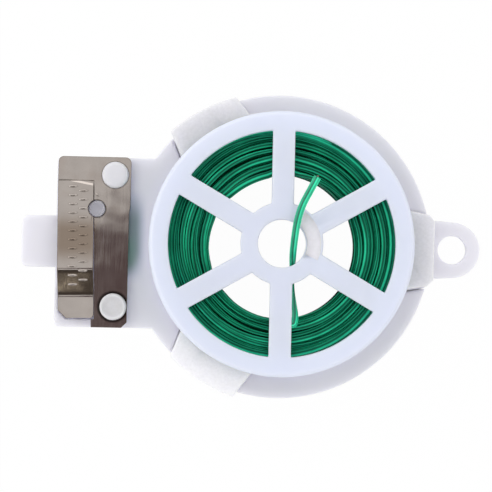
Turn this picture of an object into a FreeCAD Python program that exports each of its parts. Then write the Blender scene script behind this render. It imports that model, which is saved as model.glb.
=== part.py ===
import FreeCAD, Part
import math
import os

# Twist-tie wire spool that turns in a flat dispenser base with a sheet-metal cutter
# Lengths are millimetres. The object lies on its back: +Z points out of the spool's face,
# +X to the hanging tab and -X to the cutter. Plan places are measured from the spool's axis.

# Base plate
plate_thickness = 2.0
ring_opening_radius = 25.0
plate_edge_chamfer = 0.4
cutter_base_length = 20.1
cutter_half_width = 23.8
cutter_corner_radius = 1.4
finger_tab_length = 9.6
finger_tab_width = 14.4
finger_tab_corner_radius = 2.0
hang_hole_offset = 6.1
hang_hole_radius = 4.0
hang_tab_wall = 3.8
hang_tab_flare = 0.6
tab_root_depth = 2.0

# Snap hooks that hold the rear flange
upper_left_hook_angle = 120.0
lower_left_hook_angle = 240.0
hook_thickness = 6.0
hook_height = 9.5
hook_land = 5.9
hook_edge_round = 0.35
hook_half_width = 11.0
hook_side_taper = 1.2
hook_lip_overlap = 1.4
hook_lip_height = 1.8
hook_lip_clearance = 0.3
hook_wall_clearance = 0.5
hook_side_slot = 0.35
hook_slot_overrun = 2.5
right_hook_inset = 0.2
right_hook_chamfer = 1.7

# Spool
flange_radius = 36.0
flange_thickness = 1.8
flange_edge_round = 0.8
rear_flange_clearance = 0.2
spool_width = 17.3
flange_rim_width = 5.25
hub_radius = 11.2
hub_hole_radius = 6.5
spoke_count = 6
spoke_width = 6.0
rear_spoke_width = 4.0
rear_hub_radius = 10.5
rear_hub_hole_radius = 7.8
spoke_first_angle = 30.0
post_radius = 20.0
post_wall = 1.5
post_side_margin = 0.4
post_peg_radius = 0.6
post_peg_length = 1.0
post_peg_root = 0.5
post_peg_clearance = 0.05
hub_recess_angles = (-24.0, 55.0)
hub_recess_wall = 0.9
hub_recess_depth = 0.3

# Cutter, one sheet of steel with a leg that is lanced out of it and bent up
ledge_height = 2.0
ledge_inset = 0.4
sheet_thickness = 0.6
sheet_side_inset = 0.5
sheet_top_inset = 0.1
sheet_head_width = 20.25
sheet_blade_set_back = 0.3
sheet_head_corner_radius = 1.5
sheet_blade_corner = 1.5
sheet_foot_set_back = 0.15
sheet_step_drop = 13.7
sheet_step_length = 2.0
sheet_root_depth = 1.0
leg_bend_drop = 6.8
leg_width = 9.9
leg_lean = 1.4
leg_length = 38.2
leg_crest_run = 24.9
leg_crest_rise = 3.0
leg_fall_run = 6.9
leg_foot_rise = 0.4
leg_corner = 2.2
leg_bend_radius = 1.2
leg_root_gap = 0.05
shear_clearance = 0.08
leg_end_clearance = 0.35
passage_clearance = 0.45
well_lead = 2.3
well_floor = 0.5
stake_radius = 3.73
stake_height = 1.2
stake_edge_round = 0.7
stake_shank_radius = 1.6
stake_hole_clearance = 0.1
upper_stake_side = 4.35
upper_stake_drop = 5.0
lower_stake_side = 4.15
lower_stake_rise = 5.8
pin_radius = 2.28
pin_side = 9.25
pin_drop = 14.5
pin_proud = 0.15
pin_dome = 0.4
pin_hole_clearance = 0.4

# Tie wire
wire_diameter = 1.1
wire_pitch = 1.6
wire_flange_gap = 0.12
winding_post_gap = 1.0
winding_rim_margin = 3.6
winding_shoulder_radius = 2.2
winding_start_angle = -90.0
core_gap = 0.3
core_post_gap = 0.1
core_least_bend = 0.1
tail_points = [
    (3.85, -20.95, 16.95),
    (3.7, -17.2, 15.7),
    (2.9, -12.6, 15.1),
    (2.75, -7.7, 15.5),
    (3.0, -3.3, 17.4),
    (3.2, 1.3, 20.0),
    (3.4, 5.8, 21.6),
    (4.6, 10.2, 22.0),
    (6.9, 14.0, 22.1),
    (8.9, 17.4, 22.5),
]
tail_bend_share = 0.45

# How far cutting shapes run past the faces that they cut
overrun = 1.0

# Places that follow from the sizes
hook_wall_radius = flange_radius + hook_wall_clearance
hook_lip_radius = flange_radius - hook_lip_overlap
disc_radius = hook_wall_radius + hook_thickness
hook_top = plate_thickness + hook_height
cutter_reach = disc_radius + cutter_base_length
finger_tab_reach = cutter_reach + finger_tab_length
hang_hole_reach = disc_radius + hang_hole_offset
hang_tab_radius = hang_hole_radius + hang_tab_wall
hang_tab_reach = hang_hole_reach + hang_tab_radius
axis_x = (finger_tab_reach - hang_tab_reach) / 2
window_outer_radius = flange_radius - flange_rim_width
post_width = rear_spoke_width - 2 * post_side_margin
rear_flange_bottom = plate_thickness + rear_flange_clearance
rear_flange_top = rear_flange_bottom + flange_thickness
front_flange_top = rear_flange_bottom + spool_width
front_flange_bottom = front_flange_top - flange_thickness
ledge_top = plate_thickness + ledge_height
sheet_top_level = ledge_top + sheet_thickness
sheet_left = cutter_reach - sheet_side_inset
sheet_top = cutter_half_width - sheet_top_inset
sheet_head_right = sheet_left - sheet_head_width
sheet_blade_right = sheet_head_right + sheet_blade_set_back
sheet_foot_left = sheet_left - leg_width - sheet_foot_set_back
sheet_step = sheet_top - sheet_step_drop
leg_bend = sheet_top - leg_bend_drop
leg_middle = sheet_left - leg_width / 2
leg_knee_run = leg_crest_run + leg_fall_run
upper_stake_place = (-sheet_head_right - upper_stake_side, sheet_top - upper_stake_drop)
lower_stake_place = (-sheet_head_right - lower_stake_side, lower_stake_rise - cutter_half_width)
pin_place = (-sheet_head_right - pin_side, sheet_top - pin_drop)
winding_inner_radius = post_radius + winding_post_gap
winding_outer_radius = flange_radius - winding_rim_margin
winding_front = front_flange_bottom - wire_flange_gap - wire_diameter / 2
winding_rear = rear_flange_top + wire_flange_gap + wire_diameter / 2
up = FreeCAD.Vector(0, 0, 1)


def spot(x, y, z=0.0):
    """A point whose plan place is measured from the spool's axis."""
    return FreeCAD.Vector(axis_x + x, y, z)


def plan_place(radius, angle):
    """A plan place at an angle, in degrees, round the spool's axis."""
    turn = math.radians(angle)
    return radius * math.cos(turn), radius * math.sin(turn)


def prism(corners, bottom, height):
    """A straight block over the polygon of plan corners."""
    loop = [spot(x, y, bottom) for x, y in corners]
    face = Part.Face(Part.makePolygon(loop + loop[:1]))
    return face.extrude(FreeCAD.Vector(0, 0, height))


def cylinder(radius, bottom, height, place=(0.0, 0.0)):
    """An upright cylinder over a plan place."""
    return Part.makeCylinder(radius, height, spot(place[0], place[1], bottom), up)


def cutter_through(radius, bottom, height, place=(0.0, 0.0)):
    """An upright cylinder that runs past both faces of the layer that it cuts."""
    return cylinder(radius, bottom - overrun, height + 2 * overrun, place)


def level_edges(shape, level):
    """The edges that lie flat at one height."""
    return [edge for edge in shape.Edges
            if abs(edge.BoundBox.ZMin - level) < 1e-4 and abs(edge.BoundBox.ZMax - level) < 1e-4]


def upright_edges(shape, x):
    """The straight edges that stand at one plan distance from the spool's axis."""
    return [edge for edge in shape.Edges
            if edge.BoundBox.ZLength > 0.1 and abs(edge.BoundBox.XMin - axis_x - x) < 1e-4
            and abs(edge.BoundBox.XMax - axis_x - x) < 1e-4]


def ring_section(corners):
    """A solid of revolution about the spool's axis from (radius, height) corners."""
    loop = [spot(radius, 0.0, z) for radius, z in corners]
    face = Part.Face(Part.makePolygon(loop + loop[:1]))
    return face.revolve(spot(0.0, 0.0), up, 360)


# Base plate

def hook_plan(outer_reach, widening=0.0):
    """Plan corners of a hook that points along +X, wider at its lip than at its back."""
    taper = hook_side_taper / hook_thickness
    inner_reach = hook_lip_radius - hook_slot_overrun
    inner = hook_half_width + taper * (hook_wall_radius - inner_reach) + widening
    outer = hook_half_width + taper * (hook_wall_radius - outer_reach) + widening
    return [(inner_reach, -inner), (outer_reach, -outer), (outer_reach, outer), (inner_reach, inner)]


def turned(shape, angle):
    """A copy turned about the spool's axis."""
    copy = shape.copy()
    copy.rotate(spot(0.0, 0.0), up, angle)
    return copy


def hook_side_slots():
    """The slots beside a hook that let it spring outwards."""
    beyond = disc_radius + hook_slot_overrun
    height = plate_thickness + 2 * overrun
    slots = prism(hook_plan(beyond, hook_side_slot), -overrun, height)
    return slots.cut(prism(hook_plan(beyond), -overrun, height))


def plate():
    """The whole flat plate: ring, cutter base with its finger tab, and hanging tab."""
    disc = cylinder(disc_radius, 0.0, plate_thickness)
    cutter = prism([(-cutter_reach, -cutter_half_width), (-ring_opening_radius, -cutter_half_width),
                    (-ring_opening_radius, cutter_half_width), (-cutter_reach, cutter_half_width)],
                   0.0, plate_thickness)
    cutter = cutter.makeFillet(cutter_corner_radius, upright_edges(cutter, -cutter_reach))
    finger_root = cutter_reach - tab_root_depth
    finger = prism([(-finger_tab_reach, -finger_tab_width / 2), (-finger_root, -finger_tab_width / 2),
                    (-finger_root, finger_tab_width / 2), (-finger_tab_reach, finger_tab_width / 2)],
                   0.0, plate_thickness)
    finger = finger.makeFillet(finger_tab_corner_radius, upright_edges(finger, -finger_tab_reach))
    root = disc_radius - tab_root_depth
    root_half_width = hang_tab_radius + hang_tab_flare
    hang_root = prism([(root, -root_half_width), (hang_hole_reach, -hang_tab_radius),
                       (hang_hole_reach, hang_tab_radius), (root, root_half_width)],
                      0.0, plate_thickness)
    hang_end = cylinder(hang_tab_radius, 0.0, plate_thickness, (hang_hole_reach, 0.0))
    body = disc.multiFuse([cutter, finger, hang_root, hang_end]).removeSplitter()
    body = body.makeChamfer(plate_edge_chamfer, level_edges(body, plate_thickness))
    body = body.cut(cutter_through(ring_opening_radius, 0.0, plate_thickness))
    body = body.cut(cutter_through(hang_hole_radius, 0.0, plate_thickness, (hang_hole_reach, 0.0)))
    for angle in (upper_left_hook_angle, lower_left_hook_angle, 0.0):
        body = body.cut(turned(hook_side_slots(), angle))
    well_top = leg_bend - leg_knee_run + well_lead
    well = leg_passage(passage_clearance, well_floor, plate_thickness).cut(
        prism([(-cutter_reach, well_top), (0.0, well_top), (0.0, disc_radius), (-cutter_reach, disc_radius)],
              0.0, plate_thickness + overrun))
    return body.cut(well)


def base_ring():
    """The round part of the plate, which the rear flange turns on."""
    return plate().common(cylinder(disc_radius, 0.0, plate_thickness))


def beyond_the_ring(side):
    """The part of the plate outside the ring, to the left (-1) or to the right (1) of it."""
    half = prism([(0.0, -disc_radius), (side * finger_tab_reach, -disc_radius),
                  (side * finger_tab_reach, disc_radius), (0.0, disc_radius)], 0.0, plate_thickness)
    return plate().common(half).cut(cutter_through(disc_radius, 0.0, plate_thickness))


def hook_ring(outer_radius):
    """The hooks' section turned round the spool: wall, lip over the flange, and sloping top."""
    lip_bottom = rear_flange_top + hook_lip_clearance
    return ring_section([(hook_wall_radius, plate_thickness), (outer_radius, plate_thickness),
                         (outer_radius, hook_top), (disc_radius - hook_land, hook_top),
                         (hook_lip_radius, lip_bottom + hook_lip_height),
                         (hook_lip_radius, lip_bottom), (hook_wall_radius, lip_bottom)])


def snap_hook(angle):
    """A hook whose back follows the disc's edge."""
    hook = hook_ring(disc_radius).common(
        prism(hook_plan(disc_radius + overrun), plate_thickness, hook_top))
    hook = hook.makeFillet(hook_edge_round, level_edges(hook, hook_top))
    return turned(hook, angle)


def right_snap_hook():
    """The hook beside the hanging tab, with a flat back and chamfered corners."""
    back = disc_radius - right_hook_inset
    inner, outer, outer_far, inner_far = hook_plan(back)
    plan = [inner, (back - right_hook_chamfer, outer[1]), (back, outer[1] + right_hook_chamfer),
            (back, outer_far[1] - right_hook_chamfer), (back - right_hook_chamfer, outer_far[1]), inner_far]
    hook = hook_ring(disc_radius + hook_slot_overrun).common(prism(plan, plate_thickness, hook_top))
    return hook.makeFillet(hook_edge_round, level_edges(hook, hook_top))


# Cutter

def lean(shape):
    """Turns a shape that is drawn along the leg to the leg's own line."""
    shape.rotate(spot(-leg_middle, leg_bend), up, leg_lean)
    return shape


def leg_passage(clearance, bottom, height, end_clearance=leg_end_clearance):
    """The space over the leg's plan, with room at its sides and at its end."""
    left = -leg_middle - leg_width / 2 - clearance
    right = -leg_middle + leg_width / 2 + clearance
    end = leg_bend - leg_length - end_clearance
    return lean(prism([(left, leg_bend), (left, end), (right, end), (right, leg_bend)], bottom, height))


def sheet_plan(bottom, height, inset=0.0):
    """The sheet before its leg is lanced: a head over the full width and the blade at the right."""
    left = -sheet_left + inset
    foot_left = -sheet_foot_left + inset
    right = -sheet_blade_right - inset
    head_right = -sheet_head_right - inset
    far = sheet_top - inset
    near = -cutter_half_width + inset
    root = leg_bend - sheet_root_depth
    return prism([(left, far), (left, root), (foot_left, root), (foot_left, near),
                  (right - sheet_blade_corner, near), (right, near + sheet_blade_corner),
                  (right, sheet_step - sheet_step_length), (head_right, sheet_step), (head_right, far)],
                 bottom, height)


def cutter_ledge():
    """The raised plastic ledge, a little inside the sheet's edges, that leaves the leg room to go down."""
    ledge = sheet_plan(plate_thickness, ledge_height, ledge_inset)
    ledge = ledge.cut(leg_passage(passage_clearance, 0.0, ledge_top + overrun))
    return ledge.cut(cutter_through(pin_radius, 0.0, ledge_top, pin_place))


def cutter_plate():
    """The fixed sheet: head, and blade with the edge that the leg shears against."""
    sheet = sheet_plan(ledge_top, sheet_thickness)
    corners = upright_edges(sheet, -sheet_left) + upright_edges(sheet, -sheet_head_right)
    corners = [edge for edge in corners if abs(edge.CenterOfMass.y - sheet_top) < 1e-4]
    sheet = sheet.makeFillet(sheet_head_corner_radius, corners)
    sheet = sheet.cut(leg_passage(shear_clearance, 0.0, sheet_top_level + overrun))
    stake_hole_radius = stake_shank_radius + stake_hole_clearance
    for place in (upper_stake_place, lower_stake_place):
        sheet = sheet.cut(cutter_through(stake_hole_radius, 0.0, sheet_top_level, place))
    return sheet.cut(cutter_through(pin_radius + pin_hole_clearance, 0.0, sheet_top_level, pin_place))


def press_leg():
    """The leg: up from its bend to a crest, down to a flat foot."""
    crest = leg_crest_rise
    foot = leg_foot_rise
    under = [(leg_root_gap, 0.0), (leg_crest_run, crest), (leg_knee_run, foot), (leg_length, foot)]
    over = [(run, rise + sheet_thickness) for run, rise in reversed(under)]
    x = -leg_middle - leg_width / 2
    loop = [spot(x, leg_bend - run, ledge_top + rise) for run, rise in under + over]
    leg = Part.Face(Part.makePolygon(loop + loop[:1])).extrude(FreeCAD.Vector(leg_width, 0, 0))
    bend_places = (leg_bend - leg_crest_run, leg_bend - leg_knee_run)
    bends = [edge for edge in leg.Edges if edge.BoundBox.XLength > leg_width - 0.01
             and min(abs(edge.CenterOfMass.y - place) for place in bend_places) < 0.01]
    leg = leg.makeFillet(leg_bend_radius, bends)
    end = leg_bend - leg_length
    top = leg.BoundBox.ZMax
    leg = leg.cut(prism([(x, end), (x + leg_corner, end), (x, end + leg_corner)], 0.0, top))
    leg = lean(leg)
    return leg.cut(cutter_through(pin_radius + pin_hole_clearance, 0.0, top, pin_place))


def stake(place):
    """A round stud, pressed down into a low head over the sheet."""
    head = cylinder(stake_radius, sheet_top_level, stake_height, place)
    head = head.makeFillet(stake_edge_round, level_edges(head, sheet_top_level + stake_height))
    return head.fuse(cylinder(stake_shank_radius, ledge_top, sheet_thickness, place))


def locating_pin():
    """The small stud that stands in the hole at the slit's upper end."""
    top = sheet_top_level + pin_proud
    pin = cylinder(pin_radius, plate_thickness, top - plate_thickness, pin_place)
    return pin.makeFillet(pin_dome, level_edges(pin, top))


# Spool

def spoke_angles():
    """The directions of the spokes, evenly spaced."""
    return [spoke_first_angle + index * 360.0 / spoke_count for index in range(spoke_count)]


def flange(bottom, spoke_breadth, hub, hub_hole):
    """A rim, six spokes and a hub ring with its hole."""
    disc = cylinder(flange_radius, bottom, flange_thickness)
    windows = cutter_through(window_outer_radius, bottom, flange_thickness)
    windows = windows.cut(cutter_through(hub, bottom, flange_thickness))
    half = spoke_breadth / 2
    spoke = prism([(0.0, -half), (flange_radius, -half), (flange_radius, half), (0.0, half)],
                  bottom - overrun, flange_thickness + 2 * overrun)
    for angle in spoke_angles():
        windows = windows.cut(turned(spoke, angle))
    disc = disc.cut(windows)
    return disc.cut(cutter_through(hub_hole, bottom, flange_thickness))


def rim_edges(shape, level):
    """The outer circle at one height."""
    return [edge for edge in level_edges(shape, level) if edge.BoundBox.XLength > 2 * flange_radius - 0.01]


def pegs(radius, bottom, height):
    """Six upright pins, one on each post's middle line."""
    reach = post_radius - post_wall / 2
    return [cylinder(radius, bottom, height, plan_place(reach, angle)) for angle in spoke_angles()]


def rear_flange():
    """The flange that turns on the base, a little lighter than the front one, with six posts for the winding."""
    body = flange(rear_flange_bottom, rear_spoke_width, rear_hub_radius, rear_hub_hole_radius)
    body = body.makeFillet(flange_edge_round, rim_edges(body, rear_flange_bottom))
    height = front_flange_bottom - rear_flange_top
    wall = cylinder(post_radius, rear_flange_top, height)
    wall = wall.cut(cylinder(post_radius - post_wall, rear_flange_top, height))
    half = post_width / 2
    slab = prism([(0.0, -half), (flange_radius, -half), (flange_radius, half), (0.0, half)],
                 rear_flange_top, height)
    for angle in spoke_angles():
        body = body.fuse(wall.common(turned(slab, angle)))
    for peg in pegs(post_peg_radius, front_flange_bottom - post_peg_root, post_peg_length + post_peg_root):
        body = body.fuse(peg)
    return body.removeSplitter()


def front_flange():
    """The flange that shows, with peg holes behind its spokes and a shallow recess in its hub."""
    body = flange(front_flange_bottom, spoke_width, hub_radius, hub_hole_radius)
    body = body.makeFillet(flange_edge_round, rim_edges(body, front_flange_top))
    depth = post_peg_length + post_peg_clearance
    for hole in pegs(post_peg_radius + post_peg_clearance, front_flange_bottom, depth):
        body = body.cut(hole)
    recess = cylinder(hub_radius - hub_recess_wall, front_flange_top - hub_recess_depth, overrun)
    first, last = hub_recess_angles
    wedge = [(0.0, 0.0)] + [plan_place(2 * hub_radius, angle) for angle in (first, (first + last) / 2, last)]
    return body.cut(recess.common(prism(wedge, front_flange_bottom, spool_width)))


# Tie wire

def winding_line(run):
    """Radius and height of the outer turns after a run along their section, and how they change.

    The turns go out along the front flange, down the outside and back in along the rear flange."""
    bend = winding_shoulder_radius
    face = winding_outer_radius - bend - winding_inner_radius
    side = winding_front - winding_rear - 2 * bend
    quarter = bend * math.pi / 2
    if run <= face:
        return winding_inner_radius + run, winding_front, 1.0, 0.0
    run -= face
    if run <= quarter:
        turn = run / bend
        return (winding_outer_radius - bend + bend * math.sin(turn),
                winding_front - bend + bend * math.cos(turn),
                math.cos(turn), -math.sin(turn))
    run -= quarter
    if run <= side:
        return winding_outer_radius, winding_front - bend - run, 0.0, -1.0
    run -= side
    if run <= quarter:
        turn = run / bend
        return (winding_outer_radius - bend + bend * math.cos(turn),
                winding_rear + bend - bend * math.sin(turn),
                -math.sin(turn), -math.cos(turn))
    run -= quarter
    return winding_outer_radius - bend - run, winding_rear, -1.0, 0.0


def winding_point(turns):
    """Place and direction of the wire after a number of clockwise turns."""
    radius, z, outwards, upwards = winding_line(turns * wire_pitch)
    angle = math.radians(winding_start_angle - 360.0 * turns)
    cos, sin = math.cos(angle), math.sin(angle)
    around = 2 * math.pi * radius / wire_pitch
    direction = FreeCAD.Vector(outwards * cos + around * sin, outwards * sin - around * cos, upwards)
    return spot(radius * cos, radius * sin, z), direction.normalize()


def bend_edge(start, corner, end):
    """An arc that leaves start towards corner and arrives at end from it, with equal legs."""
    middle = (start + end) / 2
    half_chord = (end - start).Length / 2
    height = (corner - middle).Length
    half_turn = math.atan2(height, half_chord)
    through = middle + (corner - middle) * (math.tan(half_turn / 2) / math.tan(half_turn))
    return Part.Arc(start, through, end).toShape()


def biarc(start, start_direction, end, end_direction):
    """Two tangent arcs from one place and direction to the next."""
    chord = end - start
    sum_direction = start_direction + end_direction
    spread = 2 * (1 - start_direction.dot(end_direction))
    along = chord.dot(sum_direction)
    reach = (-along + math.sqrt(along ** 2 + spread * chord.dot(chord))) / spread
    first = start + start_direction * reach
    second = end - end_direction * reach
    middle = (first + second) / 2
    return [bend_edge(start, first, middle), bend_edge(middle, second, end)]


def pipe(edges, start, direction):
    """A round tube along tangent edges."""
    ring = Part.Wire([Part.Circle(start, direction, wire_diameter / 2).toShape()])
    return Part.Wire(edges).makePipeShell([ring], True, False)


def winding_turns():
    """How many turns go once round the winding's section, cut off at a half turn."""
    bend = winding_shoulder_radius
    face = winding_outer_radius - bend - winding_inner_radius
    side = winding_front - winding_rear - 2 * bend
    return math.floor(2 * (2 * face + side + math.pi * bend) / wire_pitch) / 2


def winding_start():
    """The face where the wire leaves the turns: one diameter straight before the first turn."""
    first, direction = winding_point(0.0)
    return first - direction * wire_diameter, direction


def wire_turns():
    """The outer layer of turns, one unbroken tube."""
    start, start_direction = winding_start()
    halves = round(winding_turns() * 2)
    stations = [winding_point(index / 2) for index in range(halves + 1)]
    edges = [Part.LineSegment(start, stations[0][0]).toShape()]
    for (place, direction), (next_place, next_direction) in zip(stations, stations[1:]):
        edges += biarc(place, direction, next_place, next_direction)
    last, last_direction = stations[-1]
    edges.append(Part.LineSegment(last, last + last_direction * wire_diameter).toShape())
    print_least_gap(edges)
    return pipe(edges, start, start_direction)


def print_least_gap(edges):
    """Measures the gap between neighbouring turns on points along the tube's line."""
    points = []
    for edge in edges[1:-1]:
        points += edge.discretize(16)[:-1]
    per_turn = 4 * 15
    least = min((points[index] - points[other]).Length
                for index in range(len(points))
                for other in range(index + per_turn // 2, min(index + per_turn * 3 // 2, len(points))))
    print("turns", winding_turns(), "least gap between turns, mm:", round(least - wire_diameter, 3))


def wire_pack():
    """The inner layers, a plain core under the outer turns."""
    inset = wire_diameter / 2 + core_gap
    outer = winding_outer_radius - inset
    front = winding_front - inset
    rear = winding_rear + inset
    bend = max(winding_shoulder_radius - inset, core_least_bend)
    middle = bend * math.sqrt(0.5)
    inner = post_radius + core_post_gap
    front_arc = Part.Arc(spot(outer - bend, 0.0, front),
                         spot(outer - bend + middle, 0.0, front - bend + middle),
                         spot(outer, 0.0, front - bend))
    rear_arc = Part.Arc(spot(outer, 0.0, rear + bend), spot(outer - bend + middle, 0.0, rear + bend - middle),
                        spot(outer - bend, 0.0, rear))
    outline = [Part.LineSegment(spot(inner, 0.0, front), spot(outer - bend, 0.0, front)).toShape(),
               front_arc.toShape(),
               Part.LineSegment(spot(outer, 0.0, front - bend), spot(outer, 0.0, rear + bend)).toShape(),
               rear_arc.toShape(),
               Part.LineSegment(spot(outer - bend, 0.0, rear), spot(inner, 0.0, rear)).toShape(),
               Part.LineSegment(spot(inner, 0.0, rear), spot(inner, 0.0, front)).toShape()]
    return Part.Face(Part.Wire(outline)).revolve(spot(0.0, 0.0), up, 360)


def wire_tail():
    """The free end: it folds out of the first turn, passes under the hub and comes up through its hole."""
    start, direction = winding_start()
    route = [start] + [spot(x, y, z) for x, y, z in tail_points]
    edges = []
    radii = []
    here = route[0]
    for before, corner, after in zip(route, route[1:], route[2:]):
        incoming = (corner - before).normalize()
        outgoing = (after - corner).normalize()
        half_turn = incoming.getAngle(outgoing) / 2
        reach = tail_bend_share * min((corner - before).Length, (after - corner).Length)
        arc_start = corner - incoming * reach
        arc_end = corner + outgoing * reach
        edges.append(Part.LineSegment(here, arc_start).toShape())
        edges.append(bend_edge(arc_start, corner, arc_end))
        radii.append(round(reach / math.tan(half_turn), 1))
        here = arc_end
    edges.append(Part.LineSegment(here, route[-1]).toShape())
    tube = pipe(edges, start, (route[1] - route[0]).normalize())
    length = sum(edge.Length for edge in edges)
    section = math.pi * wire_diameter ** 2 / 4
    print("free end: length", round(length, 2), "radii", radii)
    print("free end: tube volume", round(tube.Volume, 3), "section times length", round(section * length, 3))
    return tube


def save(name, shape):
    """Writes one node's solids to its own file."""
    state = "valid" if shape.isValid() else "INVALID"
    print(name, len(shape.Solids), "solid", round(shape.Volume, 1), "mm3", state)
    shape.exportStep(os.path.join("parts", name + ".step"))


os.makedirs("parts", exist_ok=True)
save("base_ring", base_ring())
save("cutter_base", beyond_the_ring(-1))
save("hang_tab", beyond_the_ring(1))
save("snap_hook_upper_left", snap_hook(upper_left_hook_angle))
save("snap_hook_lower_left", snap_hook(lower_left_hook_angle))
save("snap_hook_right", right_snap_hook())
save("cutter_ledge", cutter_ledge())
save("cutter_plate", cutter_plate())
save("press_leg", press_leg())
save("upper_stake", stake(upper_stake_place))
save("lower_stake", stake(lower_stake_place))
save("locating_pin", locating_pin())
save("rear_flange", rear_flange())
save("front_flange", front_flange())
save("wire_pack", wire_pack())
save("wire_turns", wire_turns())
save("wire_tail", wire_tail())
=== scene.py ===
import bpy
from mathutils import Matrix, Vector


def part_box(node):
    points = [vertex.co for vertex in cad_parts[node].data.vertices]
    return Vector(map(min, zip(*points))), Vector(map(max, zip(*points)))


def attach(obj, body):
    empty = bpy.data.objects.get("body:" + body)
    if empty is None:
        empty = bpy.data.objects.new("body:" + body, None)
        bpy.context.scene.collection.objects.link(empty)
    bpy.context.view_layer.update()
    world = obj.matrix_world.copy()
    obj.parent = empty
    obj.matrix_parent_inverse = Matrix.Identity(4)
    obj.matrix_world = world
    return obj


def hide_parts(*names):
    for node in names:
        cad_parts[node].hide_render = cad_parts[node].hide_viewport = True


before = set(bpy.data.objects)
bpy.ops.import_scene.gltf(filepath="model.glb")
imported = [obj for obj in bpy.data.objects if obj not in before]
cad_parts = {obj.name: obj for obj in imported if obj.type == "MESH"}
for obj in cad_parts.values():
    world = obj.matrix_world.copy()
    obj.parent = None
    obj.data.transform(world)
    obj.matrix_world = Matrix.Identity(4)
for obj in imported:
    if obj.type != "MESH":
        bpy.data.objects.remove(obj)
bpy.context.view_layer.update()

import math
import random

import bmesh
import bpy
from mathutils import Matrix, Vector

bl_info = {
    "name": "Tie wire spool",
    "version": (1, 0, 0),
    "blender": (4, 5, 0),
    "location": "View3D > Sidebar > Tie wire",
    "description": "A spool of green tie wire in a flat white dispenser with a sheet-metal cutter",
    "category": "Object",
}

# Lengths are millimetres where no comment says otherwise, and MM turns them to metres.
MM = 0.001


def node_span(node, axis):
    """A node's lowest and highest place along an axis."""
    low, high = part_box(node)
    return low[axis] / MM, high[axis] / MM


# Places that the frame gives
FLANGE_LEFT, FLANGE_RIGHT = node_span("front_flange", 0)
AXIS_X = (FLANGE_LEFT + FLANGE_RIGHT) / 2
FLANGE_RADIUS = (FLANGE_RIGHT - FLANGE_LEFT) / 2
FRONT_BOTTOM, FRONT_TOP = node_span("front_flange", 2)
REAR_BOTTOM = node_span("rear_flange", 2)[0]
FLANGE_THICKNESS = FRONT_TOP - FRONT_BOTTOM
REAR_TOP = REAR_BOTTOM + FLANGE_THICKNESS
SHEET_BOTTOM, SHEET_TOP = node_span("cutter_plate", 2)
PIN_BOTTOM, PIN_TOP = node_span("locating_pin", 2)
HOOK_BOTTOM, HOOK_TOP = node_span("snap_hook_right", 2)

# All other places are measured from the spool's axis, and angles are degrees.
# Spool: the hub's recess has two radii and two ends, and its floor rises to the first of them.
WINDOW_RADIUS, HUB_RADIUS, HUB_HOLE_RADIUS = 30.75, 11.2, 6.5
FIRST_SPOKE, SPOKE_SPACING, SPOKE_HALF_WIDTH = 30.0, 60.0, 3.0
RIM_ROUNDING = 1.3
RECESS_RADII, RECESS_ENDS, RECESS_DEPTH, RECESS_RISE = (6.75, 10.6), (-24.0, 55.0), 0.35, 0.33

# Base
PLATE_THICKNESS = 2.0
DISC_RADIUS, RING_OPENING_RADIUS = 42.5, 25.0
HANG_HOLE_X, HANG_HOLE_RADIUS, HANG_TAB_RADIUS, HANG_TAB_MEETS = 48.6, 4.0, 7.8, (41.68, 8.31)
CUTTER_LEFT, CUTTER_HALF_WIDTH, CUTTER_ROUNDING = -62.6, 23.8, 1.4
FINGER_LEFT, FINGER_HALF_WIDTH, FINGER_ROUNDING = -72.2, 7.2, 2.0
WELL, WELL_DEPTH, WELL_CHAMFER = (-62.35, -51.75, -21.65, -12.6), 1.5, 2.1
# How far the leg's lean takes the well's corners at most, and rounds in shares of the moulded edge's
WELL_LEANS = (1.2, 0.5)
PLATE_EDGE, HOOK_EDGE = 1.6, 0.5
# A hook's middle and how far it is turned from there, and how far its two ends lean out at the top
HOOKS = {
    "snap_hook_right": (0.0, -0.9, 0.0, 0.0),
    "snap_hook_upper_left": (120.0, 1.65, 0.0, 1.0),
    "snap_hook_lower_left": (240.0, 0.0, 0.4, 1.2),
}
HOOK_HALF_ARC, HOOK_WALL, HOOK_LIP_GROWTH = 14.0, 38.0, 1.2
HOOK_SLOT = ((41.297, 10.041), (32.1, 11.88), (32.1, 12.23), (41.206, 10.409))

# Cutter: each of the leg's rises is a run from its bend and its underside's height there.
SHEET_LEFT, SHEET_RIGHT, SHEET_FAR, SHEET_NEAR, SHEET_ROUNDING = -62.1, -41.85, 23.7, -23.8, 1.5
BLADE_LEFT, BLADE_RIGHT, BLADE_CHAMFER, BLADE_WIDENS = -52.05, -42.15, 1.5, (8.0, 10.0)
SHEAR_GAP, SLIT_PAST_LEG = 0.08, 0.35
LEG_BEND, LEG_LEAN, LEG_LENGTH, LEG_HALF_WIDTH = (-57.15, 16.9), math.radians(1.4), 38.2, 4.95
LEG_RISES = ((0.0, 0.0), (24.9, 3.0), (31.8, 0.4), (LEG_LENGTH, 1.0))
LEG_CURVE, LEG_CUTS, LEG_CUT_SPACING = 0.8, 18, 2.0
# The foot's chamfer at the left, and its corner at the right: how far in from its side and from its end
FOOT_CHAMFER, FOOT_CORNER = 2.2, ((0.0, 0.8), (0.3, 0.2), (0.8, 0.0))
BAR_ROWS, BAR_PITCH, FIRST_BAR, BAR_COLUMNS, BAR_SIZE = 23, 1.24, 15.3, (-0.75, 2.15), (1.35, 0.4, 0.3)
SLOPE_REACH = 0.1
MARK_PLACE, MARK_TURN, MARK_SIZE = (-51.2, 13.1), -40.0, (0.8, 0.3, 0.2)
PIN_PLACE, PIN_HOLE_RADIUS = (-51.1, 9.2), 2.42
STAKE_PLACES = {"upper_stake": (-46.2, 18.7), "lower_stake": (-46.0, -18.0)}
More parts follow.
